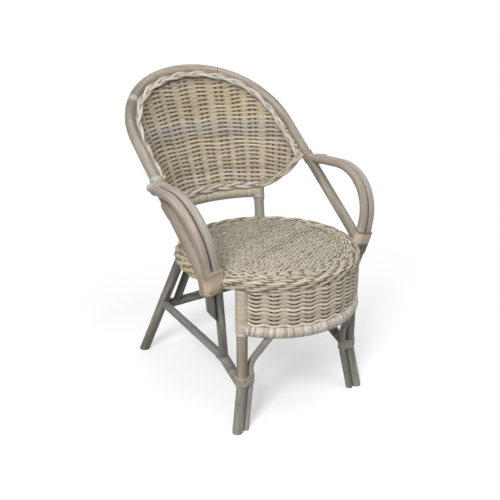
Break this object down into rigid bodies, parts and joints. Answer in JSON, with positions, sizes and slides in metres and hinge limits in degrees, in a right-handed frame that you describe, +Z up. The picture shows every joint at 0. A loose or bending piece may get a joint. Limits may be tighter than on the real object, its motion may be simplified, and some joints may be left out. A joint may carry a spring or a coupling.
{
  "type": "rattan armchair",
  "caption": "Armchair of bent rattan poles with a barrel-shaped woven back in a sloping hoop, looped arms, and a round woven seat with a woven apron.",
  "frame": {"origin": "on the floor, under the middle of the chair's bounding box", "axes": "+Z up, -Y the way the chair faces, +X to its right as seen from the front"},
  "size_m": [0.6204, 0.7424, 0.9019],
  "materials": {
    "pole": "grey-washed rattan pole, satin",
    "peel": "wound rattan peel, satin",
    "weave": "woven rattan core, matte",
    "rod": "pale rattan rods and plait, matte"
  },
  "bodies": {
    "root": {"back_hoop": "pole", "seat_ring": "pole", "seat_bar_front": "pole", "seat_bar_rear": "pole", "apron_rail": "pole", "rear_stretcher": "pole", "back_rail": "pole", "rear_leg_left": "pole", "rear_leg_right": "pole", "front_leg_left": "pole", "front_leg_right": "pole", "arm_inner_pole_left": "pole", "arm_inner_pole_right": "pole", "arm_outer_pole_left": "pole", "arm_outer_pole_right": "pole", "knee_brace_left": "pole", "knee_brace_right": "pole", "side_stretcher_left": "pole", "side_stretcher_right": "pole", "rear_brace_left": "pole", "rear_brace_right": "pole", "apron_rail_wrap": "peel", "back_rail_wrap": "peel", "arm_strap_left": "peel", "arm_strap_right": "peel", "arm_collar_left": "peel", "arm_collar_right": "peel", "post_binding_left": "peel", "post_binding_right": "peel", "leg_wrap_left": "peel", "leg_wrap_right": "peel", "leg_binding_left": "peel", "leg_binding_right": "peel", "stretcher_wrap_left": "peel", "stretcher_wrap_right": "peel", "corner_wrap_left": "peel", "corner_wrap_right": "peel", "seat_panel": "weave", "apron_panel": "weave", "back_panel": "weave", "seat_rim_wrap": "rod", "back_braid_arch": "rod", "back_braid_rail": "rod", "back_braid_left": "rod", "back_braid_right": "rod"}
  },
  "joints": []
}
